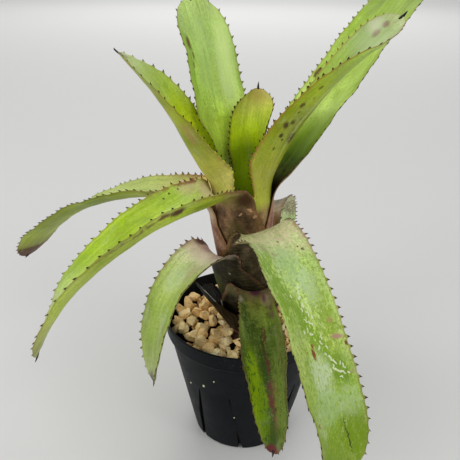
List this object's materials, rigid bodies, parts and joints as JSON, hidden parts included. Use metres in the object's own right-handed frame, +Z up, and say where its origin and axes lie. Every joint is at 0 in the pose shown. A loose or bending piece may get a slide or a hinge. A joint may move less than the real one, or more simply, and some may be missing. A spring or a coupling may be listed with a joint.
{
  "type": "potted bromeliad",
  "caption": "Bromeliad with toothed, arching strap leaves in a vase-shaped rosette, rooted in gravel in a round tapered nursery pot with drainage slits.",
  "frame": {"origin": "centre of the pot's base, on the surface that it stands on", "axes": "+Z up along the pot's axis; the viewer of the picture stands at -Y, so +X is to the right and +Y is away"},
  "size_m": [0.2754, 0.2517, 0.2977],
  "materials": {
    "pot_plastic": "slate black moulded plastic, matte, with fine water specks",
    "gravel_stone": "porous cream and ochre gravel, dry",
    "stem": "brown fibrous stem",
    "dry_sheath": "dark purple-brown dry sheath, slightly glossy where wet",
    "leaf": "leathery yellow-green leaf with a thin pale bloom, satin, with brown-black marginal spines"
  },
  "bodies": {
    "root": {"pot": "pot_plastic", "gravel": "gravel_stone", "stem_core": "stem", "old_sheath_inner": "dry_sheath", "old_sheath_outer": "dry_sheath", "low_front_leaf": "leaf", "low_left_leaf": "leaf", "big_right_leaf": "leaf", "back_right_leaf": "leaf", "long_left_leaf": "leaf", "far_left_leaf": "leaf", "upper_left_leaf": "leaf", "upper_right_leaf": "leaf", "top_right_leaf": "leaf", "top_leaf": "leaf", "heart_leaf": "leaf"}
  },
  "joints": []
}
